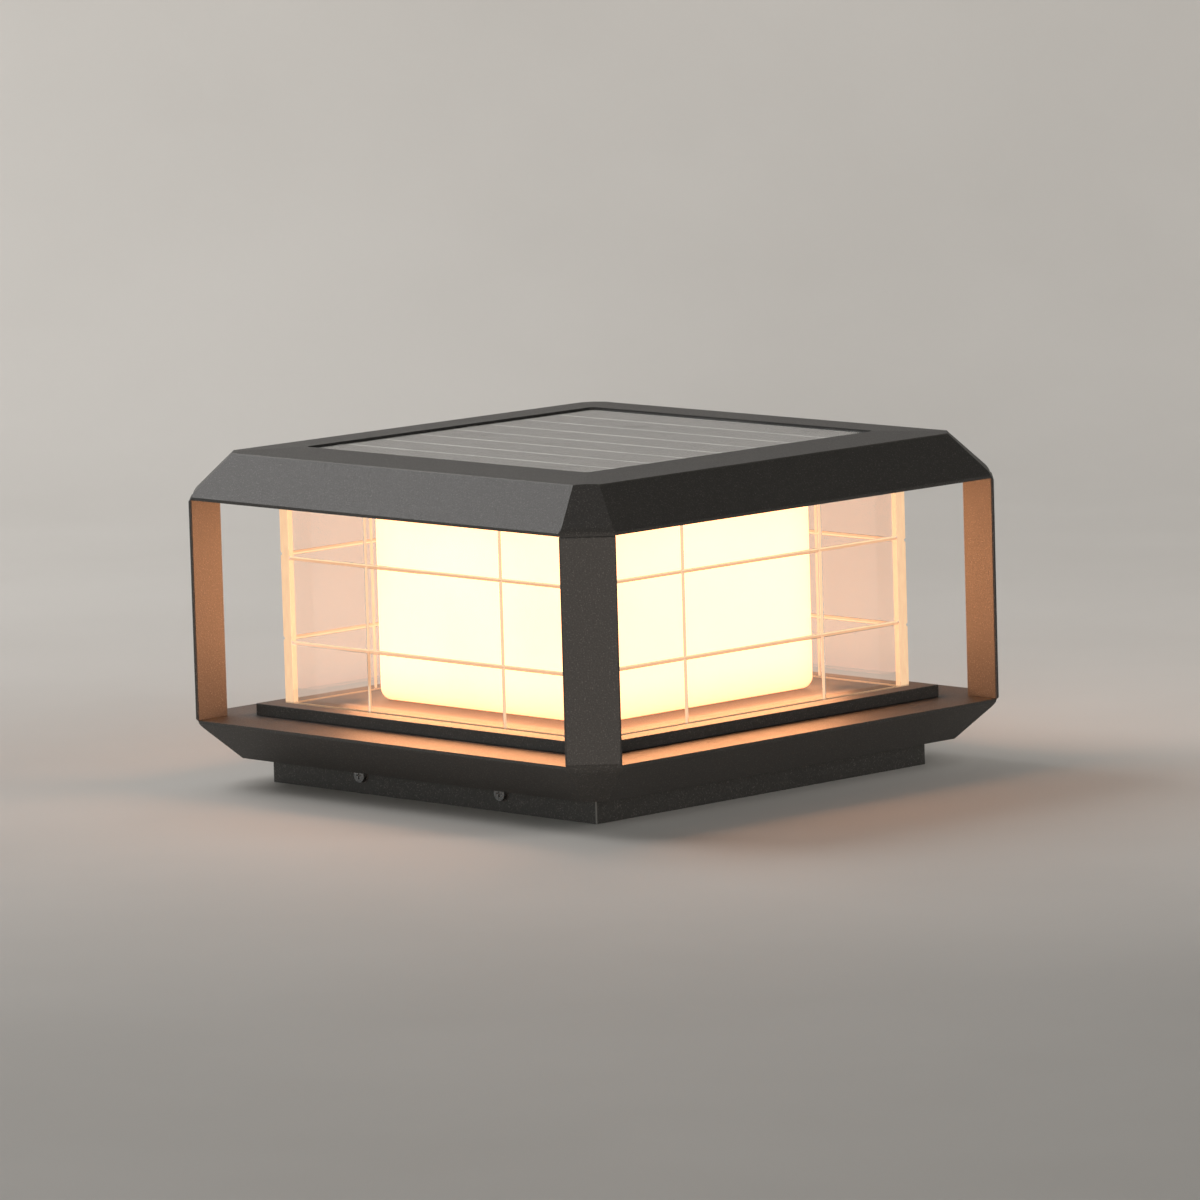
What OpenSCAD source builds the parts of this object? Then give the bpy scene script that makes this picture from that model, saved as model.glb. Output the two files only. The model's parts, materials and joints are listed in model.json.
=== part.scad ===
// Square solar pillar lantern: a bevelled cap and base held apart by four corner posts faced with
// straps, with engraved clear panels round an opal light box. It drops over a bracket on the pillar.
// Millimetres, +Z up, origin at the middle of the foot's underside, -Y is the front.

/* [Outline] */
// Width of the cap and base across their flat sides
outer_w = 300; // [296:1:310]
// Leg of the corner chamfer on the widest outline
corner_leg = 19.4; // [18:0.2:22]
// How far the cap and base bevels lean inward
bevel_in = 20; // [18:0.5:22]
// Width of the square foot
foot_w = 230; // [226:1:234]
// Width of the raised tray
tray_w = 241; // [238:1:244]
// Width of the window over the solar panel
window_w = 200; // [192:1:202]

/* [Heights] */
// Height of the foot that shows below the base bevel
foot_h = 13.4; // [13:0.1:15]
// Height of the base's top deck
deck_z = 34; // [33:0.5:36]
// Height of the tray's top face
tray_z = 40; // [39:0.5:42]
// Height of the cap's lower edge
cap_z = 144.5; // [135:0.5:160]
// Height of the cap's rim, where the bevels end
rim_z = 166.7; // [160:0.1:182]
// How far the cap's top rises from the rim to the window
crown_h = 1.5; // [0.5:0.1:2]
// Upright lip where a bevel ends at the widest outline
lip_h = 1.5; // [1:0.1:2]
// Depth of the solar panel's face below the window's edge
solar_drop = 0.8; // [0.6:0.1:1.2]

/* [Sheet and straps] */
// Thickness of the cap, base and tray sheet
skin = 1.5; // [1.2:0.1:1.8]
// Thickness of the corner straps
strap_t = 1.4; // [1.2:0.1:1.8]
// Width of a corner strap
strap_w = 27.2; // [25:0.2:28]
// How far a strap's face stands out from the corner facets
strap_step = 0.6; // [0.3:0.1:0.8]
// Radius of a strap's outer edges
strap_edge_r = 1; // [0.8:0.1:1.2]
// Width of the cap's corner facets where they end at the rim
facet_end_w = 12.6; // [10:0.2:14]
// Radius of the bends where the corner facets turn upright
facet_bend_r = 9; // [6:0.5:12]

/* [Light box] */
// Width of the ring of clear panels, outside faces
panel_ring_w = 220; // [216:1:222]
// Thickness of a clear panel
panel_t = 6; // [5:0.5:6]
// Distance of the upright engraved lines from a panel's middle
line_x = 48; // [40:1:60]
// Height of the engraved cross lines above the tray and below the cap
line_inset_z = 31; // [25:1:40]
// Width of an engraved line, a square-sided V half as deep
line_w = 2.2; // [1.8:0.1:2.4]
// Width of the opal diffuser
diffuser_w = 154; // [140:1:156]
// Wall thickness of the diffuser
diffuser_t = 2.5; // [2:0.5:3]
// Radius of the diffuser's upright corners
diffuser_r = 8; // [6:1:10]
// Radius of the diffuser's bottom edges
diffuser_foot_r = 6; // [4:1:6]

/* [Fixings] */
// Distance between the pillar holes of the bracket, both ways
anchor_pitch = 160; // [140:5:170]
// Diameter of the pillar holes
anchor_d = 5.5; // [4.5:0.5:6]
// Distance between the two screws in a foot side
foot_screw_pitch = 100; // [80:5:120]
// Height of the foot screws
foot_screw_z = 9.4; // [9:0.1:9.6]
// Travel of the power button
button_travel = 1.5; // [1:0.1:2]

/* [Hidden] */
$fn = 48;

half = outer_w / 2;
facet_r = (outer_w - corner_leg) / sqrt(2);
cap_edge_z = cap_z + lip_h;
top_z = rim_z + crown_h;
under_z = rim_z - skin;
base_edge_z = deck_z - lip_h;
post_r = facet_r + strap_t;
rim_r = sqrt(2) * (half - bevel_in) - facet_end_w / 2;
corner_r = post_r - strap_step;
facet_in = corner_r - rim_r;
far = 3 * outer_w;

plate_t = 1.2;
plate_z = cap_z + 0.4;
plate_top = plate_z + plate_t;
plate_gap = 0.8;

foot_wall = 2;
foot_half = foot_w / 2;
foot_inner = foot_half - foot_wall;
throat = foot_half - 12;

bracket_w = 190;
bracket_t = 2;
flange_out = throat - 1;
flange_h = 16;
notch_w = 4.6;

rail_out = panel_ring_w / 2;
rail_in = rail_out - panel_t;
panel_top = plate_z - 1;
seat_d = 0.8;

solar_seal_w = 6;
solar_half = window_w / 2 + solar_seal_w;
seal_t = 0.5;
glass_t = 2.8;
cell_t = 0.4;
backing_t = 1;
glass_top = under_z - seal_t;
backing_z = glass_top - glass_t - cell_t - backing_t;

flange_w = diffuser_w + 20;
flange_t = 2;
flange_top = plate_top + flange_t;
reflector_t = 1;
reflector_top = flange_top + reflector_t;
diffuser_z = tray_z + 0.4;
fix_at = diffuser_w / 2 + 3;

led_board_w = 110;
led_board_t = 1.6;
led_board_z = flange_top - led_board_t;
led_pitch = 18;
led_fix = 50;

cell_r = 9;
cell_len = 65;
cell_y = solar_half + 12;
cell_z = plate_top + cell_r + 0.5;
holder_half = 69;

board_x = -109;
board_w = 34;
board_len = 70;
board_t = 1.6;
board_z = plate_top + 4;
board_top = board_z + board_t;
socket_x = board_x + board_w / 2 - 4;

lead_r = 1.1;
lead_z = board_top + 3.2;
socket_face = socket_x + 3;

standoff_at = 116;
switch_x = -125;
switch_y = 72;
switch_neck_r = 6;
button_r = 4;
running_fit = 0.05;

// The widest outline moved inward by a given inset, for flat sheets
module outline(inset) {
    h = half - inset;
    k = h - (corner_leg - inset * (2 - sqrt(2)));
    polygon([[k, -h], [h, -k], [h, k], [k, h], [-k, h], [-h, k], [-h, -k], [-k, -h]]);
}

// A long bar across the lantern, its section given as [half width, height] points going up
module bar(section, turn) {
    left = [for (i = [len(section) - 1 : -1 : 0]) [-section[i][0], section[i][1]]];
    rotate([0, 0, turn]) rotate([90, 0, 0])
        linear_extrude(height = far, center = true) polygon(concat(section, left));
}

// A bevelled eight-sided body: two bars make its flat sides and two make its corner facets
module bevelled(flats, facets) {
    intersection() {
        bar(flats, 0);
        bar(flats, 90);
        bar(facets, 45);
        bar(facets, -45);
    }
}

// How much further a leaning sheet reaches sideways than its thickness
function lean(run, rise, t) = t * sqrt(1 + pow(run / rise, 2));

cap_rise = rim_z - cap_edge_z;
base_rise = base_edge_z - foot_h;

// The rounding of a corner c between the directions to a and b, as points from a's side to b's
function fold(c, a, b) =
    let(u = (a - c) / norm(a - c), v = (b - c) / norm(b - c), open = acos(u * v))
    let(middle = c + (u + v) / norm(u + v) * facet_bend_r / sin(open / 2))
    let(reach = facet_bend_r / tan(open / 2), p = c + u * reach - middle, q = c + v * reach - middle)
    let(start = atan2(p[1], p[0]), turn = atan2(q[1], q[0]) - start)
    [for (i = [0 : 8]) middle + facet_bend_r * [cos(start + turn * i / 8), sin(start + turn * i / 8)]];

// The corner's outside section along the diagonal, [distance from the axis, height] going up
corner_section = concat([[rim_r, foot_h]],
    fold([corner_r, base_edge_z], [rim_r, foot_h], [corner_r, cap_edge_z]),
    fold([corner_r, cap_edge_z], [corner_r, base_edge_z], [rim_r, rim_z]),
    [[rim_r - crown_h * facet_in / cap_rise, top_z]]);

// A rectangle centred on the axis with round corners
module round_square(w, r) {
    union() {
        square([w, w - 2 * r], center = true);
        square([w - 2 * r, w], center = true);
        for (x = [-1, 1], y = [-1, 1]) translate([x * (w / 2 - r), y * (w / 2 - r)]) circle(r);
    }
}

module box(x, y, z) {
    translate([x[0], y[0], z[0]]) cube([x[1] - x[0], y[1] - y[0], z[1] - z[0]]);
}

module slab(w, z) {
    box([-w / 2, w / 2], [-w / 2, w / 2], z);
}

module at_corners(d) {
    for (x = [-d, d], y = [-d, d]) translate([x, y, 0]) children();
}

// A screw standing on its tip: the shank runs z to z + len, the head sits above it
module screw(r, len, head_r, head_h) {
    cylinder(r = r, h = len);
    translate([0, 0, len]) difference() {
        cylinder(r = head_r, h = head_h);
        translate([0, 0, head_h - 1]) for (a = [0, 90]) rotate([0, 0, a])
            cube([head_r, 0.7, 2.1], center = true);
    }
}

// A wire of round stretches between points, with a ball at each turn
module wire(points, r) {
    for (i = [0 : len(points) - 2]) {
        v = points[i + 1] - points[i];
        translate(points[i])
            rotate([0, acos(v[2] / norm(v)), atan2(v[1], v[0])]) cylinder(r = r, h = norm(v));
        if (i > 0) translate(points[i]) sphere(r + 0.1);
    }
}

// ---- bracket on the pillar ----

module mounting_bracket() {
    color("silver") difference() {
        union() {
            slab(bracket_w, [0, bracket_t]);
            for (m = [0, 1]) mirror([0, m, 0])
                box([-75, 75], [bracket_w / 2 - 1, flange_out], [0, bracket_t]);
            for (m = [0, 1]) mirror([0, m, 0])
                box([-75, 75], [flange_out - bracket_t, flange_out], [0, flange_h]);
        }
        at_corners(anchor_pitch / 2) translate([0, 0, -1]) cylinder(d = anchor_d, h = bracket_t + 2);
        for (m = [0, 1], x = [-1, 1]) mirror([0, m, 0]) translate([x * foot_screw_pitch / 2, 0, 0]) {
            translate([0, flange_out - 2 * bracket_t, foot_screw_z]) rotate([-90, 0, 0])
                cylinder(d = notch_w, h = 3 * bracket_t);
            box([-notch_w / 2, notch_w / 2], [flange_out - 3, flange_out + 1], [foot_screw_z, flange_h + 1]);
        }
    }
}

// ---- base ----

module foot_frame() {
    color("dimgray") difference() {
        slab(foot_w, [0, foot_h]);
        slab(2 * foot_inner, [-1, foot_h - skin]);
        slab(2 * throat, [-1, foot_h + 1]);
        for (m = [0, 1], x = [-1, 1]) mirror([0, m, 0])
            translate([x * foot_screw_pitch / 2, foot_inner - 1, foot_screw_z]) rotate([-90, 0, 0])
                cylinder(r = 2.1, h = 5);
        for (x = [-1, 1] * foot_screw_pitch / 2, y = [-1, 1] * (foot_inner - 5))
            box([x - 4.5, x + 4.5], [y - 5, y + 5], [foot_h - 2 * skin, foot_h + 1]);
        for (x = [-60, 60], y = [-1, 1]) translate([x, y * (throat + 4), foot_h - 3]) cylinder(r = 1.6, h = 5);
        for (x = [-1, 1], y = [-60, 60]) translate([x * (throat + 4), y, foot_h - 3]) cylinder(r = 1.6, h = 5);
    }
}

module base_shell() {
    k = bevel_in / base_rise;
    wall = lean(bevel_in, base_rise, skin);
    facet_wall = strap_t - strap_step + lean(facet_in, base_rise, skin);
    kf = facet_in / base_rise;
    floor_z = foot_h + skin;
    color("dimgray") difference() {
        bevelled([[half - bevel_in, foot_h], [half, base_edge_z], [half, deck_z]], corner_section);
        bevelled([[half - bevel_in - wall + skin * k, floor_z], [half - wall, base_edge_z]],
            [[rim_r - facet_wall + skin * kf, floor_z], [corner_r - facet_wall, base_edge_z]]);
        slab(2 * throat, [foot_h - 1, floor_z + 1]);
        at_corners(85) translate([0, 0, deck_z - 4]) cylinder(r = 2.2, h = 5);
        for (x = [-60, 60], y = [-1, 1]) translate([x, y * (throat + 4), foot_h - 1]) cylinder(r = 1.6, h = 3);
        for (x = [-1, 1], y = [-60, 60]) translate([x * (throat + 4), y, foot_h - 1]) cylinder(r = 1.6, h = 3);
    }
}

module flange_screws() {
    color("silver") {
        for (x = [-60, 60], y = [-1, 1]) translate([x, y * (throat + 4), foot_h + skin]) rotate([180, 0, 0])
            screw(1.6, 2 * skin, 2.8, 1.8);
        for (x = [-1, 1], y = [-60, 60]) translate([x * (throat + 4), y, foot_h + skin]) rotate([180, 0, 0])
            screw(1.6, 2 * skin, 2.8, 1.8);
    }
}

module tray_plate() {
    color("dimgray") difference() {
        slab(tray_w, [deck_z, tray_z]);
        slab(tray_w - 2 * skin, [deck_z - 1, tray_z - 2]);
        difference() {
            slab(2 * rail_out, [tray_z - seat_d, tray_z + 1]);
            slab(2 * rail_in, [tray_z - seat_d - 1, tray_z + 2]);
        }
    }
}

module tray_standoffs() {
    color("silver") at_corners(85) translate([0, 0, deck_z]) difference() {
        cylinder(r = 4.5, h = tray_z - 2 - deck_z, $fn = 6);
        translate([0, 0, -1]) cylinder(r = 2, h = tray_z);
    }
}

module tray_screws() {
    color("silver") at_corners(85) translate([0, 0, tray_z - 2.4]) rotate([180, 0, 0])
        screw(2, tray_z - 2.4 - base_edge_z, 3.8, 2.4);
}

// ---- screws that lock the lantern to the bracket ----

module foot_screw_pair(side) {
    for (x = [-1, 1]) translate([x * foot_screw_pitch / 2, side * (foot_half - 17), foot_screw_z])
        rotate([-90 * side, 0, 0]) screw(2, 17, 3.6, 2.4);
}

module rivet_nut_pair(side) {
    for (x = [-1, 1]) translate([x * foot_screw_pitch / 2, side * (foot_inner - 5), foot_screw_z])
        rotate([-90 * side, 0, 0]) difference() {
            cylinder(r = 3.2, h = 5);
            translate([0, 0, -1]) cylinder(r = 2, h = 7);
        }
}

module foot_screws_front() {
    color("silver") foot_screw_pair(-1);
}

module foot_screws_back() {
    color("silver") foot_screw_pair(1);
}

module rivet_nuts_front() {
    color("silver") rivet_nut_pair(-1);
}

module rivet_nuts_back() {
    color("silver") rivet_nut_pair(1);
}

// ---- corner posts ----

// A strap's section, its back on x = 0 and the two corners of its face rounded
module strap_section(w) {
    r = strap_edge_r;
    intersection() {
        translate([0, -w / 2]) square([strap_t, w]);
        union() {
            translate([0, -w / 2]) square([strap_t - r, w]);
            translate([0, r - w / 2]) square([strap_t, w - 2 * r]);
            for (y = [-1, 1] * (w / 2 - r)) translate([strap_t - r, y]) circle(r);
        }
    }
}

// A strap: an upright plate over a post, with rounded edges and ends
module strap(turn) {
    h = cap_z - deck_z;
    rotate([0, 0, turn]) translate([facet_r, 0, deck_z + h / 2]) intersection() {
        linear_extrude(height = h, center = true) strap_section(strap_w);
        rotate([90, 0, 0]) linear_extrude(height = strap_w, center = true) strap_section(h);
    }
}

// The angle behind a strap: two legs along the lantern's sides, meeting inward of the corner
module post(turn) {
    apex = half - corner_leg;
    rotate([0, 0, turn]) translate([0, 0, deck_z]) linear_extrude(height = cap_z - deck_z)
        polygon([[apex, apex], [half, apex], [half - skin, apex + skin], [apex + skin, apex + skin],
            [apex + skin, half - skin], [apex, half]]);
}

module strap_front_right() {
    color("dimgray") strap(-45);
}

module strap_back_right() {
    color("dimgray") strap(45);
}

module strap_back_left() {
    color("dimgray") strap(135);
}

module strap_front_left() {
    color("dimgray") strap(225);
}

module post_front_right() {
    color("dimgray") post(-90);
}

module post_back_right() {
    color("dimgray") post(0);
}

module post_back_left() {
    color("dimgray") post(90);
}

module post_front_left() {
    color("dimgray") post(180);
}

// ---- clear panels ----

// A panel on the front side, from x0 to x1, its engraving moved by shift, then the whole turned
module panel(x0, x1, turn, shift) {
    low = tray_z - seat_d;
    v = line_w / sqrt(2);
    rotate([0, 0, turn]) difference() {
        box([x0, x1], [-rail_out, -rail_in], [low, panel_top]);
        for (x = [-line_x, line_x]) translate([x + shift[0], -rail_out, low - 1]) rotate([0, 0, 45])
            box([-v / 2, v / 2], [-v / 2, v / 2], [0, panel_top - low + 2]);
        for (z = [tray_z + line_inset_z, cap_z - line_inset_z])
            translate([x0 - 1, -rail_out, z + shift[1]]) rotate([45, 0, 0])
                box([0, x1 - x0 + 2], [-v / 2, v / 2], [-v / 2, v / 2]);
    }
}

module panel_front() {
    color("mistyrose", 0.4) panel(-rail_in, rail_in, 0, [0, -0.4]);
}

module panel_right() {
    color("mistyrose", 0.4) panel(-rail_out, rail_in, 90, [1.3, 1.4]);
}

module panel_back() {
    color("mistyrose", 0.4) panel(-rail_out, rail_in, 180, [0, -0.4]);
}

module panel_left() {
    color("mistyrose", 0.4) panel(-rail_out, rail_out, -90, [0, 1.4]);
}

module panel_gasket() {
    color("black") difference() {
        slab(2 * rail_out + 3, [panel_top - 3, plate_z]);
        slab(2 * rail_in - 3, [panel_top - 4, plate_z + 1]);
        difference() {
            slab(2 * rail_out, [panel_top - 4, panel_top]);
            slab(2 * rail_in, [panel_top - 5, panel_top + 1]);
        }
    }
}

// ---- cap ----

module cap_shell() {
    k = bevel_in / cap_rise;
    wall = lean(bevel_in, cap_rise, skin);
    kf = facet_in / cap_rise;
    facet_wall = strap_t - strap_step + lean(facet_in, cap_rise, skin);
    color("dimgray") difference() {
        bevelled([[half, cap_z], [half, cap_edge_z], [half - bevel_in, rim_z], [window_w / 2, top_z]],
            corner_section);
        bevelled([[half - wall, cap_z - 1], [half - wall, cap_edge_z],
                [half - wall - bevel_in + skin * k, under_z]],
            [[corner_r - facet_wall, cap_z - 1], [corner_r - facet_wall, cap_edge_z],
             [rim_r - facet_wall + skin * kf, under_z]]);
        translate([0, 0, under_z - 1]) linear_extrude(height = top_z - under_z + 2) round_square(window_w, 3);
    }
}

module cap_plate() {
    color("dimgray") difference() {
        translate([0, 0, plate_z]) linear_extrude(height = plate_t)
            outline(lean(facet_in, cap_rise, skin) + plate_gap);
        translate([0, 0, plate_z - 1]) linear_extrude(height = plate_t + 2)
            round_square(diffuser_w + 0.4, diffuser_r + 0.2);
        at_corners(standoff_at) translate([0, 0, plate_z - 1]) cylinder(r = 2.1, h = 4);
        at_corners(fix_at) translate([0, 0, plate_z - 1]) cylinder(r = 1.5, h = 4);
        translate([switch_x, switch_y, plate_z - 1]) cylinder(r = switch_neck_r, h = 4);
    }
}

module cap_standoffs() {
    color("silver") at_corners(standoff_at) translate([0, 0, plate_top]) difference() {
        cylinder(r = 4, h = under_z - plate_top, $fn = 6);
        translate([0, 0, -1]) cylinder(r = 2, h = 11);
    }
}

module cap_screws() {
    color("silver") at_corners(standoff_at) translate([0, 0, plate_top + 8]) rotate([180, 0, 0])
        screw(2, plate_t + 8, 3.4, 2.2);
}

// ---- solar panel ----

module solar_seal() {
    color("black") translate([0, 0, glass_top]) linear_extrude(height = seal_t) difference() {
        square(2 * solar_half, center = true);
        round_square(window_w + 1, 3);
    }
}

module solar_glass() {
    color("gray", 0.5) union() {
        slab(2 * solar_half, [glass_top - glass_t, glass_top]);
        translate([0, 0, glass_top - 1]) linear_extrude(height = top_z - solar_drop - glass_top + 1)
            round_square(window_w - 1, 2.6);
    }
}

module solar_cells() {
    rows = 8;
    pitch = (window_w - 4) / rows;
    color("midnightblue") for (i = [0 : rows - 1])
        box([-window_w / 2 + 2, window_w / 2 - 2],
            [-window_w / 2 + 2.4 + i * pitch, -window_w / 2 + 1.6 + (i + 1) * pitch],
            [glass_top - glass_t - cell_t, glass_top - glass_t]);
}

module solar_backing() {
    color("white") slab(2 * solar_half, [backing_z, backing_z + backing_t]);
}

module solar_junction() {
    color("black") box([-72, -58], [-9, 9], [backing_z - 3, backing_z]);
}

// ---- light ----

// One side of the section through the cup: upright to z1, with its bottom edge rounded
module cup_section(reach, foot_r, h) {
    union() {
        translate([0, foot_r]) square([reach, h - foot_r]);
        square([reach - foot_r, foot_r]);
        translate([reach - foot_r, foot_r]) intersection() {
            circle(foot_r);
            translate([0, -foot_r]) square([foot_r, foot_r]);
        }
    }
}

// A round-cornered block with rounded bottom edges
module cup(w, r, foot_r, z0, z1) {
    at = w / 2 - r;
    translate([0, 0, z0]) union() {
        for (a = [0, 90]) rotate([0, 0, a]) rotate([90, 0, 0]) linear_extrude(height = 2 * at, center = true)
            for (m = [0, 1]) mirror([m, 0]) cup_section(w / 2, foot_r, z1 - z0);
        at_corners(at) rotate_extrude() cup_section(r, foot_r, z1 - z0);
    }
}

module diffuser() {
    mouth = diffuser_w - 2 * diffuser_t;
    color("ivory") difference() {
        union() {
            cup(diffuser_w, diffuser_r, diffuser_foot_r, diffuser_z, plate_top);
            translate([0, 0, plate_top]) linear_extrude(height = flange_t) round_square(flange_w, 8);
        }
        cup(mouth, diffuser_r - diffuser_t, diffuser_foot_r - diffuser_t, diffuser_z + diffuser_t, flange_top + 1);
        at_corners(fix_at) translate([0, 0, plate_top - 1]) cylinder(r = 1.6, h = flange_t + 2);
    }
}

module reflector_plate() {
    color("white") difference() {
        translate([0, 0, flange_top]) linear_extrude(height = reflector_t) round_square(flange_w, 8);
        at_corners(fix_at) translate([0, 0, flange_top - 1]) cylinder(r = 1.6, h = 3);
        at_corners(led_fix) translate([0, 0, flange_top - 1]) cylinder(r = 1.6, h = 3);
        translate([-65, 0, flange_top - 1]) cylinder(r = 4, h = 3);
    }
}

module diffuser_screws() {
    color("silver") at_corners(fix_at) translate([0, 0, plate_z])
        screw(1.5, reflector_top - plate_z, 2.8, 2);
}

module led_board() {
    color("white") difference() {
        slab(led_board_w, [led_board_z, flange_top]);
        at_corners(led_fix) translate([0, 0, led_board_z - 1]) cylinder(r = 1.5, h = 4);
    }
}

module led_chips() {
    color("gold") for (i = [-2 : 2], j = [-2 : 2]) translate([i * led_pitch, j * led_pitch, led_board_z - 0.4])
        cube([3.5, 2.8, 0.8], center = true);
}

module led_screws() {
    color("silver") at_corners(led_fix) translate([0, 0, led_board_z])
        screw(1.5, reflector_top - led_board_z, 2.8, 2);
}

// ---- battery ----

module battery_holder() {
    out_y = cell_r + 1.4;
    color("black") translate([0, cell_y, plate_top]) difference() {
        box([-holder_half, holder_half], [-out_y, out_y], [0, 10]);
        for (s = [-1, 1]) translate([s * (cell_len / 2 + 1), 0, 0])
            box([-cell_len / 2 - 0.4, cell_len / 2 + 0.4], [-cell_r - 0.2, cell_r + 0.2], [-1, 11]);
    }
}

module battery_cell(side) {
    translate([side * (cell_len / 2 + 1) - cell_len / 2, cell_y, cell_z]) rotate([0, 90, 0])
        union() {
            cylinder(r = cell_r, h = cell_len - 1.5);
            cylinder(r = 3, h = cell_len - 0.4);
        }
}

module battery_cell_left() {
    color("seagreen") battery_cell(-1);
}

module battery_cell_right() {
    color("seagreen") battery_cell(1);
}

module battery_contacts() {
    end = cell_len + 1.4;
    color("silver") for (x = [[-end, 0.4], [-1.4, 0.8], [0.6, 0.4], [end - 0.8, 0.8]])
        translate([x[0], cell_y, 0]) box([0, x[1]], [-4, 4], [plate_top + 1, plate_top + 9.8]);
}

// ---- control board ----

module control_board() {
    color("darkgreen") difference() {
        translate([board_x, 0, 0]) box([-board_w / 2, board_w / 2], [-board_len / 2, board_len / 2], [board_z, board_top]);
        at_board_corners() translate([0, 0, board_z - 1]) cylinder(r = 1.5, h = 4);
    }
}

module at_board_corners() {
    for (x = [-1, 1], y = [-1, 1])
        translate([board_x + x * (board_w / 2 - 3), y * (board_len / 2 - 3), 0]) children();
}

module board_chips() {
    color("black") translate([board_x, 0, board_top]) {
        box([-8, -1], [-4, 8], [0, 1.6]);
        box([-8, -3], [-20, -14], [0, 1.4]);
        translate([-9, 20, 0]) cylinder(r = 4, h = 7);
        translate([2, -16, 0]) cylinder(r = 3.2, h = 4);
    }
}

module board_sockets() {
    color("white") for (y = [-16, 0, 16]) translate([socket_x, y, 0])
        box([-3, 3], [-4, 4], [board_top, board_top + 5]);
}

module board_spacers() {
    color("white") at_board_corners() translate([0, 0, plate_top]) difference() {
        cylinder(r = 3, h = board_z - plate_top);
        translate([0, 0, -1]) cylinder(r = 1.5, h = 8);
    }
}

module board_screws() {
    color("silver") at_board_corners() translate([0, 0, plate_top]) screw(1.5, board_top - plate_top, 2.6, 1.8);
}

// ---- internal leads, held between their sockets ----

module solar_lead() {
    z = backing_z - 1.5;
    color("red") wire([[socket_face, 0, lead_z], [socket_face + 6, 0, lead_z], [socket_face + 6, 0, z],
        [-72, 0, z]], lead_r);
}

module battery_lead() {
    y = cell_y - 2;
    color("red") wire([[socket_x, 20, lead_z], [socket_x, y, lead_z], [-holder_half, y, lead_z]], lead_r);
}

module led_lead() {
    color("white") wire([[socket_face, -16, lead_z], [-65, -16, lead_z], [-65, 0, lead_z],
        [-65, 0, led_board_z + 0.8], [-led_board_w / 2, 0, led_board_z + 0.8]], 0.8);
}

// ---- switch ----

module switch_body() {
    color("black") translate([switch_x, switch_y, 0]) difference() {
        union() {
            translate([0, 0, plate_z - 3.4]) cylinder(r = switch_neck_r, h = plate_t + 3.4);
            translate([0, 0, plate_top]) cylinder(r = 8.5, h = 1.5);
            translate([0, 0, plate_top]) cylinder(r = 7, h = 9);
        }
        translate([0, 0, plate_z - 4]) cylinder(r = button_r, h = 9);
    }
}

module switch_nut() {
    color("silver") translate([switch_x, switch_y, plate_z - 2.4]) difference() {
        cylinder(r = 9, h = 2.4, $fn = 6);
        translate([0, 0, -1]) cylinder(r = switch_neck_r, h = 5);
    }
}

module power_button() {
    low = plate_z - 5.6;
    color("white") translate([switch_x, switch_y, low]) union() {
        cylinder(r = button_r - running_fit, h = plate_t + button_travel + 4.9);
    }
}

mounting_bracket();
foot_frame();
base_shell();
tray_plate();
tray_standoffs();
tray_screws();
foot_screws_front();
foot_screws_back();
rivet_nuts_front();
rivet_nuts_back();
flange_screws();
strap_front_right();
strap_back_right();
strap_back_left();
strap_front_left();
post_front_right();
post_back_right();
post_back_left();
post_front_left();
panel_front();
panel_right();
panel_back();
panel_left();
panel_gasket();
cap_shell();
cap_plate();
cap_standoffs();
cap_screws();
solar_seal();
solar_glass();
solar_cells();
solar_backing();
solar_junction();
diffuser();
reflector_plate();
diffuser_screws();
led_board();
led_chips();
led_screws();
battery_holder();
battery_cell_left();
battery_cell_right();
battery_contacts();
control_board();
board_chips();
board_sockets();
board_spacers();
board_screws();
solar_lead();
battery_lead();
led_lead();
switch_body();
switch_nut();
power_button();
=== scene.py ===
# Looks, floor, light and camera for a square solar pillar lantern. Metres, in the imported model's frame.
import json
import math

import bpy
from mathutils import Matrix, Vector


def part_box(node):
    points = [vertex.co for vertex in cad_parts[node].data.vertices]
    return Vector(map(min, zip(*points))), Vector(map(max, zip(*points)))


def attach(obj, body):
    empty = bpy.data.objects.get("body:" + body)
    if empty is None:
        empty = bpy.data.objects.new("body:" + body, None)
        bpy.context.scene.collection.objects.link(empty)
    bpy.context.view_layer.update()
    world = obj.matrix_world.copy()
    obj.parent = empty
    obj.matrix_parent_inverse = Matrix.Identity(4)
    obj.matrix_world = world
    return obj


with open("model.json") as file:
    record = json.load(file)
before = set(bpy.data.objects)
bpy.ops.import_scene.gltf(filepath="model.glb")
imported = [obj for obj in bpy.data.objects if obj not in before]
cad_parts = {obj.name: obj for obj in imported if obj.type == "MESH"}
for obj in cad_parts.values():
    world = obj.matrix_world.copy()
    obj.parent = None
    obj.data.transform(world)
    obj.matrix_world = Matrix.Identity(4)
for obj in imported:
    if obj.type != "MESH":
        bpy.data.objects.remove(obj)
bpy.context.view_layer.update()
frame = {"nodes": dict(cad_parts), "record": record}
NODES = frame["nodes"]
MM = 0.001

PANEL_OUT, GROOVE_DEPTH = 110 * MM, 1.1 * MM     # outside face of the panel ring, engraving depth
CAP_CREASE = 130 * MM                       # from the middle to the fold between rim and bevel
FOOT_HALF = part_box("foot_frame")[1].x              # half the foot's width
CELL_ROW = 24.5 * MM                             # pitch of the solar cells' rows along Y
DIFFUSER_LOW, DIFFUSER_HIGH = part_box("diffuser")


# ---- material graphs ----

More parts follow.
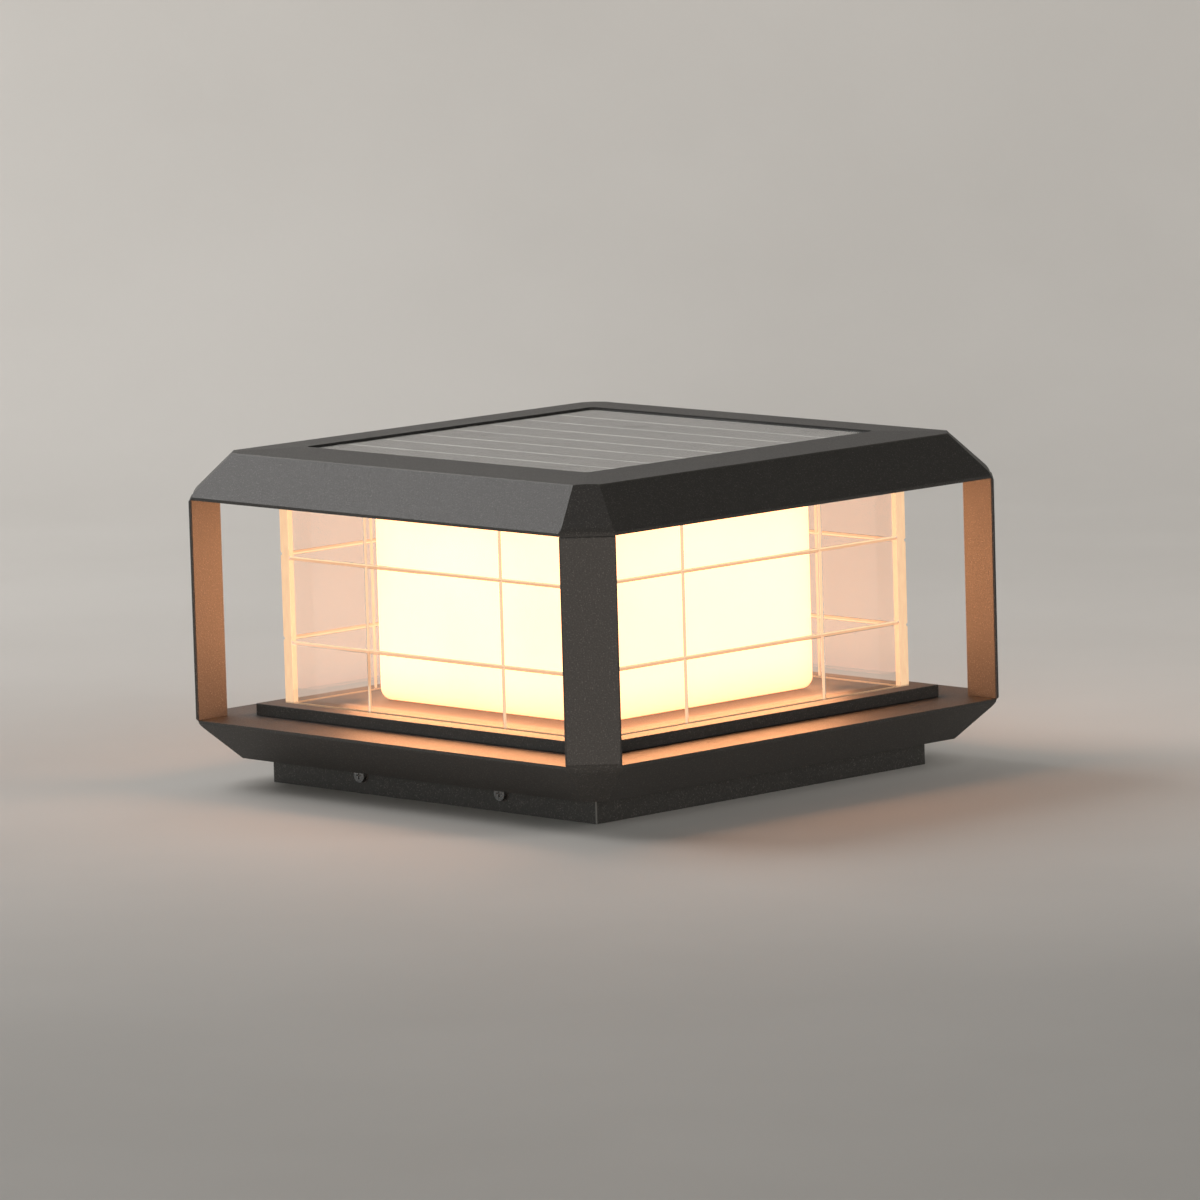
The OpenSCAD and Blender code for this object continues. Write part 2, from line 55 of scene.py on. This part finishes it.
class Graph:
    """A material's node graph. Each method adds nodes and returns an output socket."""

    def __init__(self, name):
        self.mat = bpy.data.materials.new(name)
        self.mat.use_nodes = True
        self.tree = self.mat.node_tree
        self.tree.nodes.clear()
        coord = self.add("ShaderNodeTexCoord")
        self.place, self.normal = coord.outputs["Object"], coord.outputs["Normal"]

    def add(self, kind, inputs=None, **settings):
        node = self.tree.nodes.new(kind)
        for key, value in settings.items():
            setattr(node, key, value)
        for key, value in (inputs or {}).items():
            self.feed(node.inputs[key], value)
        return node

    def feed(self, socket, value):
        if isinstance(value, bpy.types.NodeSocket):
            self.tree.links.new(value, socket)
        elif socket.type == "RGBA" and len(value) == 3:
            socket.default_value = (*value, 1)
        else:
            socket.default_value = value

    def math(self, operation, a, b=0.0):
        return self.add("ShaderNodeMath", {0: a, 1: b}, operation=operation).outputs[0]

    def axes(self, vector):
        split = self.add("ShaderNodeSeparateXYZ", {0: vector})
        return [split.outputs[i] for i in range(3)]

    def size(self, value):
        return self.math("ABSOLUTE", value)

    def band(self, value, low, high):
        """1 where value lies between low and high, else 0."""
        return self.math("MULTIPLY", self.math("GREATER_THAN", value, low), self.math("LESS_THAN", value, high))

    def ramp(self, value, low, high, out_low=0.0, out_high=1.0):
        """A smooth step from out_low to out_high as value goes from low to high."""
        return self.add("ShaderNodeMapRange", {"Value": value, "From Min": low, "From Max": high,
                        "To Min": out_low, "To Max": out_high}, interpolation_type="SMOOTHSTEP").outputs["Result"]

    def stretched(self, scale):
        return self.add("ShaderNodeMapping", {"Vector": self.place, "Scale": scale}).outputs["Vector"]

    def noise(self, scale, detail=3.0, roughness=0.55, at=None):
        return self.add("ShaderNodeTexNoise", {"Vector": at or self.place, "Scale": scale, "Detail": detail,
                        "Roughness": roughness}).outputs["Fac"]

    def cells(self, scale, feature="F1", at=None, output="Distance"):
        return self.add("ShaderNodeTexVoronoi", {"Vector": at or self.place, "Scale": scale},
                        feature=feature).outputs[output]

    def stripes(self, value, pitch, width):
        """1 on lines of the given width, one every pitch along value, centred on whole pitches."""
        turn = self.math("FRACT", self.math("ADD", self.math("DIVIDE", value, pitch), 0.5))
        return self.math("LESS_THAN", self.size(self.math("SUBTRACT", turn, 0.5)), 0.5 * width / pitch)

    def mix(self, factor, a, b):
        node = self.add("ShaderNodeMix", {"Factor": factor}, data_type="RGBA")
        self.feed(node.inputs[6], a)
        self.feed(node.inputs[7], b)
        return node.outputs[2]

    def bump(self, height, depth, strength=1.0, after=None):
        inputs = {"Height": height, "Distance": depth, "Strength": strength}
        if after is not None:
            inputs["Normal"] = after
        return self.add("ShaderNodeBump", inputs).outputs["Normal"]

    def surface(self, **sockets):
        named = {key.replace("_", " "): value for key, value in sockets.items()}
        shader = self.add("ShaderNodeBsdfPrincipled", named)
        self.add("ShaderNodeOutputMaterial", {"Surface": shader.outputs[0]})
        return self.mat


def powder_coat(name, tone):
    """Fine-texture matt coating: a tight grain with pale specks and dust in patches, a painted highlight along the
    cap's crease and a painted highlight line down the foot's corner at +X, -Y.
    """
    g = Graph(name)
    grain = g.noise(1100, 3, 0.65)
    peel = g.cells(900, "SMOOTH_F1")
    cloud = g.noise(9, 4, 0.6)
    speck = g.ramp(g.noise(1500, 2, 0.6), 0.56, 0.7)
    up = g.ramp(g.axes(g.normal)[2], 0.6, 1.0)
    dust = g.math("MULTIPLY", up, g.ramp(g.noise(45, 5, 0.65), 0.5, 0.8, 0.0, 0.3))
    body = g.mix(g.ramp(cloud, 0.3, 0.7), tuple(c * 0.9 for c in tone), tuple(c * 1.06 for c in tone))
    body = g.mix(g.ramp(grain, 0.3, 0.7), tuple(c * 0.62 for c in tone), body)
    body = g.mix(g.math("MULTIPLY", speck, 0.8), body, tuple(c * 2.6 for c in tone))
    body = g.mix(dust, body, (0.16, 0.15, 0.135))
    x, y, z = g.axes(g.place)
    side = g.math("MAXIMUM", g.size(x), g.size(y))
    # Painted highlight: a lighter band all round the crease between the cap's rim and bevel, made patchy by the
    # cloud.
    crease = g.band(side, CAP_CREASE - 0.6 * MM, CAP_CREASE + 0.7 * MM)
    crease = g.math("MULTIPLY", crease, g.math("GREATER_THAN", z, 166.2 * MM))
    painted_crease_highlight = g.math("MULTIPLY", crease, g.ramp(cloud, 0.35, 0.65, 0.3, 1.0))
    body = g.mix(painted_crease_highlight, body, tuple(c * 2.0 for c in tone))
    # Painted highlight: a pale line down the foot's vertical corner at +X, -Y, up to 20 mm high.
    painted_corner_highlight = g.math("GREATER_THAN", g.math("SUBTRACT", x, y), 2 * FOOT_HALF - 0.6 * MM)
    painted_corner_highlight = g.math("MULTIPLY", painted_corner_highlight, g.math("LESS_THAN", side, FOOT_HALF + 0.05 * MM))
    painted_corner_highlight = g.math("MULTIPLY", painted_corner_highlight, g.math("LESS_THAN", z, 20 * MM))
    body = g.mix(painted_corner_highlight, body, (0.17, 0.165, 0.155))
    rough = g.math("ADD", g.ramp(grain, 0.3, 0.7, 0.5, 0.62), g.math("MULTIPLY", dust, 0.2))
    normal = g.bump(grain, 0.0001, 0.6, g.bump(peel, 0.0001, 0.5))
    return g.surface(Base_Color=body, Roughness=rough, Normal=normal, Specular_IOR_Level=0.5)


def plated_steel(name, tone, roughness, spangle):
    """Zinc plate: faint crystal patches, fine rolling lines along X and scattered scratches."""
    g = Graph(name)
    patch = g.cells(spangle, "F1", output="Color")
    patch = g.axes(patch)[0]
    roll = g.noise(300, 4, 0.7, g.stretched((0.05, 1, 1)))
    scratch = g.ramp(g.noise(90, 6, 0.8, g.stretched((1, 0.08, 1))), 0.62, 0.7)
    body = g.mix(g.ramp(patch, 0, 1), tuple(c * 0.85 for c in tone), tone)
    body = g.mix(g.math("MULTIPLY", scratch, 0.5), body, tuple(min(1, c * 1.25) for c in tone))
    rolled = g.ramp(roll, 0.3, 0.7, roughness - 0.06, roughness + 0.1)
    rough = g.math("ADD", rolled, g.math("MULTIPLY", scratch, -0.08))
    return g.surface(Base_Color=body, Metallic=1.0, Roughness=rough, Normal=g.bump(roll, 0.00002, 0.4))


def turned_steel(name, tone):
    """Bright screw metal with fine machining lines and a little grime in patches."""
    g = Graph(name)
    lines = g.noise(2200, 2, 0.6, g.stretched((1, 1, 0.3)))
    stain = g.noise(400, 4, 0.7)
    body = g.mix(g.ramp(stain, 0.45, 0.7, 0, 0.5), tone, tuple(c * 0.6 for c in tone))
    rough = g.ramp(lines, 0.3, 0.7, 0.2, 0.34)
    return g.surface(Base_Color=body, Metallic=1.0, Roughness=rough, Normal=g.bump(lines, 0.00001, 0.4))


def clear_acrylic(name, length_axis):
    """Clear sheet. Its sawn ends, seat, top and engraved lines are frosted, and their glow is painted light: emission
    standing in for the lamp's light scattered out of them.
    """
    g = Graph(name)
    x, y, z = g.axes(g.place)
    n = g.axes(g.normal)
    outward = g.size((y, x)[length_axis])
    engraved = g.band(outward, PANEL_OUT - GROOVE_DEPTH - 0.1 * MM, PANEL_OUT - 0.16 * MM)
    sawn = g.math("GREATER_THAN", g.size(n[length_axis]), 0.9)
    flat = g.math("MAXIMUM", g.math("GREATER_THAN", g.size(n[2]), 0.9), g.math("LESS_THAN", z, 40.1 * MM))
    frosted = g.math("MAXIMUM", engraved, g.math("MAXIMUM", sawn, flat))
    saw = g.noise(900, 3, 0.6, g.stretched((1, 1, 0.15)))
    smear = g.noise(14, 5, 0.6)
    # Painted light: frosted faces glow, and the whole sheet faintly; down-facing faces paler and brighter, up-facing
    # faces more orange and dimmer, and all dimmer below 41 mm at the seat.
    glow = g.mix(g.ramp(n[2], -0.3, 0.3), (1.0, 0.72, 0.42), (1.0, 0.55, 0.3))
    level = g.math("MULTIPLY", g.ramp(saw, 0.2, 0.8, 0.8, 1.0), g.ramp(n[2], -0.3, 0.3, 1.0, 0.84))
    level = g.math("MULTIPLY", level, g.ramp(z, 40 * MM, 41 * MM, 0.4, 1.0))
    level = g.math("ADD", g.math("MULTIPLY", frosted, level), 0.02)
    rough = g.mix(frosted, g.ramp(smear, 0.35, 0.7, 0.0, 0.05), g.ramp(saw, 0.3, 0.7, 0.4, 0.6))
    return g.surface(
        Base_Color=g.mix(frosted, (0.995, 0.957, 0.928), (0.2, 0.16, 0.13)), IOR=1.49,
        Roughness=rough, Transmission_Weight=g.math("SUBTRACT", 1.0, frosted),
        Emission_Color=glow, Emission_Strength=level,
        Normal=g.bump(g.math("MULTIPLY", saw, frosted), 0.00006, 0.5))


def opal_acrylic(name):
    """Satin opal cup, lit from inside: even and bright, warmer and dimmer round its foot and corners."""
    g = Graph(name)
    x, y, z = g.axes(g.place)
    height = g.math("SUBTRACT", z, DIFFUSER_LOW.z)
    near_edge = g.math("MINIMUM", g.size(x), g.size(y))
    foot = g.ramp(height, 0.0, 20 * MM, 0.68, 1.0)
    corner = g.ramp(near_edge, 55 * MM, 77 * MM, 1.0, 0.86)
    cloud = g.ramp(g.noise(18, 3, 0.5), 0.3, 0.7, 0.96, 1.04)
    level = g.math("MULTIPLY", g.math("MULTIPLY", foot, corner), cloud)
    warm = g.mix(g.ramp(height, 0.0, 12 * MM), (1.0, 0.36, 0.15), (1.0, 0.41, 0.16))
    satin = g.noise(1800, 2, 0.5)
    return g.surface(Base_Color=g.mix(g.ramp(satin, 0.3, 0.7), (0.86, 0.83, 0.76), (0.9, 0.87, 0.8)),
                     Roughness=g.ramp(satin, 0.3, 0.7, 0.3, 0.4), Normal=g.bump(satin, 0.00002, 0.3),
                     Emission_Color=warm, Emission_Strength=g.math("MULTIPLY", level, 3.8))


def solar_cell(name):
    """Dark silicon with printed finger lines, pale gaps between the rows and a faint crystal cloud."""
    g = Graph(name)
    x, y, _ = g.axes(g.place)
    finger = g.stripes(x, 1.6 * MM, 0.16 * MM)
    crystal = g.axes(g.cells(160, output="Color"))[0]
    body = g.mix(g.ramp(crystal, 0, 1), (0.018, 0.021, 0.032), (0.03, 0.034, 0.05))
    body = g.mix(finger, body, (0.3, 0.3, 0.29))
    bar = g.math("MULTIPLY", g.stripes(y, CELL_ROW, 2.4 * MM), g.ramp(g.noise(35, 2, 0.6), 0.35, 0.6, 0.3, 1.0))
    body = g.mix(bar, body, (0.62, 0.62, 0.6))
    rough = g.math("ADD", g.ramp(crystal, 0, 1, 0.3, 0.38), g.math("MULTIPLY", finger, 0.15))
    return g.surface(Base_Color=body, Roughness=rough, Normal=g.bump(finger, 0.00002, 0.6))


def solar_glass(name):
    """Low-iron glass with a fine rolled pattern on it and thin dust."""
    g = Graph(name)
    rolled = g.cells(1100, "SMOOTH_F1")
    dust = g.ramp(g.noise(30, 5, 0.6), 0.4, 0.8, 0.0, 0.12)
    return g.surface(Base_Color=g.mix(dust, (0.95, 0.97, 0.96), (0.8, 0.79, 0.76)), IOR=1.5,
                     Transmission_Weight=1.0, Roughness=g.math("ADD", dust, 0.06),
                     Normal=g.bump(rolled, 0.00003, 0.4))


def moulded(name, tone, roughness, grain_scale=1400):
    """Moulded plastic or paint: fine spark grain, slow tone drift and light scuffs."""
    g = Graph(name)
    grain = g.noise(grain_scale, 3, 0.6)
    drift = g.noise(25, 3, 0.5)
    scuff = g.ramp(g.noise(70, 6, 0.75, g.stretched((1, 0.2, 1))), 0.64, 0.74, 0.0, 0.35)
    body = g.mix(g.ramp(drift, 0.3, 0.7), tuple(c * 0.88 for c in tone), tone)
    body = g.mix(scuff, body, tuple(min(1, c * 1.3 + 0.03) for c in tone))
    rough = g.math("ADD", g.ramp(grain, 0.3, 0.7, roughness - 0.05, roughness + 0.07), g.math("MULTIPLY", scuff, 0.1))
    return g.surface(Base_Color=body, Roughness=rough, Normal=g.bump(grain, 0.00003, 0.4))


def rubber(name, tone):
    """Moulded rubber: dull, pitted, with a paler bloom in patches."""
    g = Graph(name)
    pit = g.cells(1600, "F1")
    bloom = g.ramp(g.noise(60, 5, 0.65), 0.45, 0.75, 0.0, 0.5)
    body = g.mix(bloom, tone, tuple(c * 1.8 + 0.02 for c in tone))
    return g.surface(Base_Color=body, Roughness=g.ramp(pit, 0, 0.8, 0.6, 0.8), Normal=g.bump(pit, 0.00004, 0.5))


def phosphor(name):
    """Yellow phosphor with a grain, lit."""
    g = Graph(name)
    grain = g.noise(3000, 2, 0.5)
    body = g.mix(g.ramp(grain, 0.3, 0.7), (0.9, 0.66, 0.16), (0.95, 0.76, 0.26))
    return g.surface(Base_Color=body, Roughness=g.ramp(grain, 0.3, 0.7, 0.4, 0.55),
                     Emission_Color=(1.0, 0.6, 0.3), Emission_Strength=4.0, Normal=g.bump(grain, 0.00002, 0.4))


def battery_wrap(name):
    """Shrink sleeve with a darker band round one end and soft lengthwise shrink streaks."""
    g = Graph(name)
    x, _, _ = g.axes(g.place)
    band = g.stripes(x, 65 * MM, 12 * MM)
    shrink = g.noise(300, 4, 0.6, g.stretched((0.2, 1, 1)))
    body = g.mix(g.ramp(shrink, 0.3, 0.7), (0.05, 0.26, 0.17), (0.065, 0.31, 0.2))
    body = g.mix(band, body, (0.03, 0.03, 0.03))
    return g.surface(Base_Color=body, Roughness=g.ramp(shrink, 0.3, 0.7, 0.26, 0.4),
                     Normal=g.bump(shrink, 0.00005, 0.4))


def circuit_board(name):
    """Green solder mask with paler copper tracks under it on a half-millimetre grid, and a weave."""
    g = Graph(name)
    x, y, _ = g.axes(g.place)
    cell = g.axes(g.cells(180, output="Color"))
    along = g.math("MULTIPLY", g.stripes(x, 2.54 * MM, 0.7 * MM), g.math("GREATER_THAN", cell[0], 0.45))
    across = g.math("MULTIPLY", g.stripes(y, 2.54 * MM, 0.7 * MM), g.math("GREATER_THAN", cell[1], 0.5))
    track = g.math("MAXIMUM", along, across)
    weave = g.math("MULTIPLY", g.stripes(x, 0.8 * MM, 0.4 * MM), g.stripes(y, 0.8 * MM, 0.4 * MM))
    body = g.mix(g.math("MULTIPLY", weave, 0.25), (0.012, 0.09, 0.035), (0.018, 0.12, 0.05))
    body = g.mix(track, body, (0.03, 0.2, 0.085))
    return g.surface(Base_Color=body, Roughness=g.ramp(track, 0, 1, 0.34, 0.26), Normal=g.bump(track, 0.00003, 0.6))


ANTHRACITE = (0.052, 0.048, 0.044)     # the powder coat's colour
ACRYLIC_X, ACRYLIC_Y = clear_acrylic("acrylic_x", 0), clear_acrylic("acrylic_y", 1)
FINISH = {
    "powder_coat": powder_coat("powder_coat", ANTHRACITE),
    "zinc_steel": plated_steel("zinc_steel", (0.62, 0.63, 0.64), 0.36, 120),
    "screw_steel": turned_steel("screw_steel", (0.62, 0.6, 0.57)),
    "seal_rubber": rubber("seal_rubber", (0.02, 0.02, 0.02)),
    "solar_glass": solar_glass("solar_glass"),
    "solar_cell": solar_cell("solar_cell"),
    "white_sheet": moulded("white_sheet", (0.78, 0.77, 0.74), 0.4),
    "black_plastic": moulded("black_plastic", (0.022, 0.022, 0.023), 0.48),
    "opal_acrylic": opal_acrylic("opal_acrylic"),
    "led_phosphor": phosphor("led_phosphor"),
    "battery_wrap": battery_wrap("battery_wrap"),
    "spring_metal": turned_steel("spring_metal", (0.7, 0.67, 0.6)),
    "circuit_board": circuit_board("circuit_board"),
    "chip_black": moulded("chip_black", (0.016, 0.016, 0.017), 0.38, 2400),
    "white_plastic": moulded("white_plastic", (0.72, 0.71, 0.67), 0.36),
    "lead_sleeve": moulded("lead_sleeve", (0.42, 0.025, 0.02), 0.42, 900),
}
# A darker copy of the screw metal for the foot screws: painted shade for the dark surroundings reflected in their
# polished heads.
FOOT_STEEL_PAINTED_SHADE = turned_steel("foot_steel", (0.26, 0.26, 0.26))
NODE_FINISH = {
    "panel_front": ACRYLIC_X, "panel_back": ACRYLIC_X, "panel_left": ACRYLIC_Y, "panel_right": ACRYLIC_Y,
    "foot_screws_front": FOOT_STEEL_PAINTED_SHADE, "foot_screws_back": FOOT_STEEL_PAINTED_SHADE,
}


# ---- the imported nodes: finish and softened edges ----

def soften(obj, width, segments=2):
    """Welds the split normals' seams, merges the flats and rounds the edges."""
    obj.modifiers.new("weld", "WELD").merge_threshold = 0.000002
    flats = obj.modifiers.new("flats", "DECIMATE")
    flats.decimate_type = "DISSOLVE"
    flats.angle_limit = math.radians(0.4)
    edge = obj.modifiers.new("edge", "BEVEL")
    edge.width, edge.segments = width, segments
    edge.limit_method, edge.angle_limit = "ANGLE", math.radians(28)
    edge.use_clamp_overlap = True
    edge.harden_normals = True


SOFT_EDGES = {
    "cap_shell": 0.6 * MM, "base_shell": 0.6 * MM, "foot_frame": 0.5 * MM, "tray_plate": 0.5 * MM,
    "mounting_bracket": 0.4 * MM, "solar_seal": 0.2 * MM, "solar_glass": 0.3 * MM, "power_button": 0.3 * MM,
    "battery_holder": 0.4 * MM, "solar_junction": 0.8 * MM, "board_sockets": 0.3 * MM, "board_chips": 0.15 * MM,
    "switch_body": 0.3 * MM,
}
for end in ("front_right", "back_right", "back_left", "front_left"):
    SOFT_EDGES["strap_" + end] = 0.35 * MM
    SOFT_EDGES["post_" + end] = 0.3 * MM
for side in ("front", "right", "back", "left"):
    SOFT_EDGES["panel_" + side] = 0.15 * MM

for sub in frame["record"]["subparts"]:
    name = sub["node"]
    obj = NODES[name]
    obj.data.materials.clear()
    obj.data.materials.append(NODE_FINISH.get(name) or FINISH[sub["material_slot"]])
    if name in SOFT_EDGES:
        soften(obj, SOFT_EDGES[name])
for name in ("panel_front", "panel_right", "panel_back", "panel_left", "solar_glass"):
    NODES[name].visible_shadow = NODES[name].visible_diffuse = NODES[name].visible_glossy = False


# ---- studio ----

def stage_mesh(name, verts, faces, mat):
    mesh = bpy.data.meshes.new(name)
    mesh.from_pydata(verts, [], faces)
    for p in mesh.polygons:
        p.use_smooth = True
    obj = bpy.data.objects.new(name, mesh)
    bpy.context.scene.collection.objects.link(obj)
    obj.data.materials.append(mat)
    return obj


def backdrop_paint():
    """Pale paint on the side that faces the object. The other side is clear, for views from behind and below."""
    g = Graph("backdrop_paint")
    cloud = g.noise(2.2, 4, 0.55)
    grain = g.noise(260, 3, 0.6)
    body = g.mix(g.ramp(cloud, 0.3, 0.7), (0.56, 0.54, 0.51), (0.6, 0.58, 0.55))
    texture = g.bump(grain, 0.0003, 0.25)
    paint = g.add("ShaderNodeBsdfPrincipled", {"Base Color": body, "Roughness": 0.85, "Normal": texture})
    clear = g.add("ShaderNodeBsdfTransparent")
    far_side = g.add("ShaderNodeNewGeometry").outputs["Backfacing"]
    both = g.add("ShaderNodeMixShader", {0: far_side, 1: paint.outputs[0], 2: clear.outputs[0]})
    g.add("ShaderNodeOutputMaterial", {"Surface": both.outputs[0]})
    return g.mat


CAMERA_DISTANCE = 4.453
AZIMUTH, ELEVATION, ROLL = math.radians(45.7), math.radians(7.634), math.radians(1.67)
level_part = math.cos(ELEVATION)
back = Vector((math.sin(AZIMUTH) * level_part, -math.cos(AZIMUTH) * level_part, math.sin(ELEVATION)))
right = Vector((math.cos(AZIMUTH), math.sin(AZIMUTH), 0))
up = back.cross(right)


def sweep_floor():
    """A floor that curves up into a wall behind the object, square to the camera."""
    away = Vector((-back.x, -back.y, 0)).normalized()
    reach, bend_start, bend_radius, wall_top = 12.0, 1.1, 0.7, 3.2
    profile = [(-reach, 0.0), (-1.0, 0.0), (bend_start, 0.0)]
    for i in range(1, 13):
        a = math.radians(7.5 * i)
        profile.append((bend_start + bend_radius * math.sin(a), bend_radius - bend_radius * math.cos(a)))
    profile.append((bend_start + bend_radius, wall_top))
    verts = [away * d + right * s + Vector((0, 0, z)) for d, z in profile for s in (-reach, reach)]
    faces = [(2 * i, 2 * i + 1, 2 * i + 3, 2 * i + 2) for i in range(len(profile) - 1)]
    return stage_mesh("floor_sweep", verts, faces, backdrop_paint())


sweep = sweep_floor()


def softbox(name, direction, distance, size, watts, colour, aim=(0, 0, 0.08)):
    light = bpy.data.lights.new(name, "AREA")
    light.shape = "RECTANGLE"
    light.size, light.size_y = size
    light.energy, light.color = watts, colour
    obj = bpy.data.objects.new(name, light)
    bpy.context.scene.collection.objects.link(obj)
    d = Vector(direction).normalized()
    obj.location = Vector(aim) + d * distance
    obj.rotation_euler = (-d).to_track_quat("-Z", "Y").to_euler()
    return obj


softbox("key", (-0.71, -0.17, 0.68), 2.4, (1.6, 1.6), 37, (1.0, 0.985, 0.975))
softbox("back_high", (-0.6, 0.35, 0.72), 2.4, (1.6, 1.6), 5.5, (1.0, 1.0, 1.0))
softbox("front_low", tuple(back - 0.1 * up), 3.2, (2.2, 1.0), 48, (1.0, 0.86, 0.76))
softbox("side_left", (-0.35, -0.93, 0.12), 3.2, (1.6, 1.2), 14, (0.8, 0.97, 1.0))
softbox("side_right", (0.95, -0.1, 0.15), 3.2, (1.6, 1.2), 13.5, (0.8, 0.97, 1.0))

wash = softbox("wall_wash", tuple(0.1 * right + back), 1.9, (1.2, 1.2), 15, (1.0, 0.97, 0.94),
               tuple(1.1 * right + Vector((0, 0, 0.9)) - 1.5 * back))
wash.light_linking.receiver_collection = bpy.data.collections.new("wall_only")
wash.light_linking.receiver_collection.objects.link(sweep)

# The lantern's own light on its coated metal: before each face of the opal cup one soft lamp that faces
# out and a strip over the tray that faces down. The camera doesn't see them.
LAMPLIGHT = (1.0, 0.42, 0.18)
TRAY_TOP, STRIP_OUT = 40 * MM, 85 * MM
glow_on = bpy.data.collections.new("glow_on")
for sub in frame["record"]["subparts"]:
    if sub["material_slot"] == "powder_coat":
        glow_on.objects.link(NODES[sub["node"]])
half = DIFFUSER_HIGH.x + 1.5 * MM
middle = (DIFFUSER_LOW.z + DIFFUSER_HIGH.z) / 2
for k, (dx, dy) in enumerate(((1, 0), (0, 1), (-1, 0), (0, -1))):
    lamp = softbox("glow_%d" % k, (dx, dy, 0), half, (2 * half - 6 * MM, DIFFUSER_HIGH.z - DIFFUSER_LOW.z - 6 * MM),
                   0.42, LAMPLIGHT, (0, 0, middle))
    lamp.rotation_euler = Vector((-dx, -dy, 0)).to_track_quat("Z", "Y").to_euler()
    lamp.visible_camera = False
    lamp.light_linking.receiver_collection = glow_on
    lamp.light_linking.blocker_collection = glow_on
    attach(lamp, "lantern")
    strip = softbox("tray_glow_%d" % k, (0, 0, 1), 9 * MM, (150 * MM, 14 * MM), 0.05, LAMPLIGHT,
                    (dx * STRIP_OUT, dy * STRIP_OUT, TRAY_TOP))
    strip.rotation_euler = (0, 0, math.atan2(dx, dy))
    strip.visible_camera = False
    strip.light_linking.receiver_collection = glow_on
    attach(strip, "lantern")

world = bpy.data.worlds.new("studio")
bpy.context.scene.world = world
world.use_nodes = True
world.node_tree.nodes["Background"].inputs[0].default_value = (0.95, 0.95, 1.0, 1)
world.node_tree.nodes["Background"].inputs[1].default_value = 0.02


# ---- camera ----

camera = bpy.data.objects.new("camera", bpy.data.cameras.new("camera"))
bpy.context.scene.collection.objects.link(camera)
bpy.context.scene.camera = camera
camera.data.lens, camera.data.sensor_width = 268.2, 36.0
camera.data.clip_start, camera.data.clip_end = 0.1, 50
target = Vector((2.96, 1.01, 87.35)) * MM
c, s = math.cos(ROLL), math.sin(ROLL)
turned = Matrix((c * right - s * up, s * right + c * up, back)).transposed()
camera.matrix_world = Matrix.Translation(target + back * CAMERA_DISTANCE) @ turned.to_4x4()

bpy.context.scene.view_settings.view_transform = "Standard"
bpy.context.scene.view_settings.look = "None"
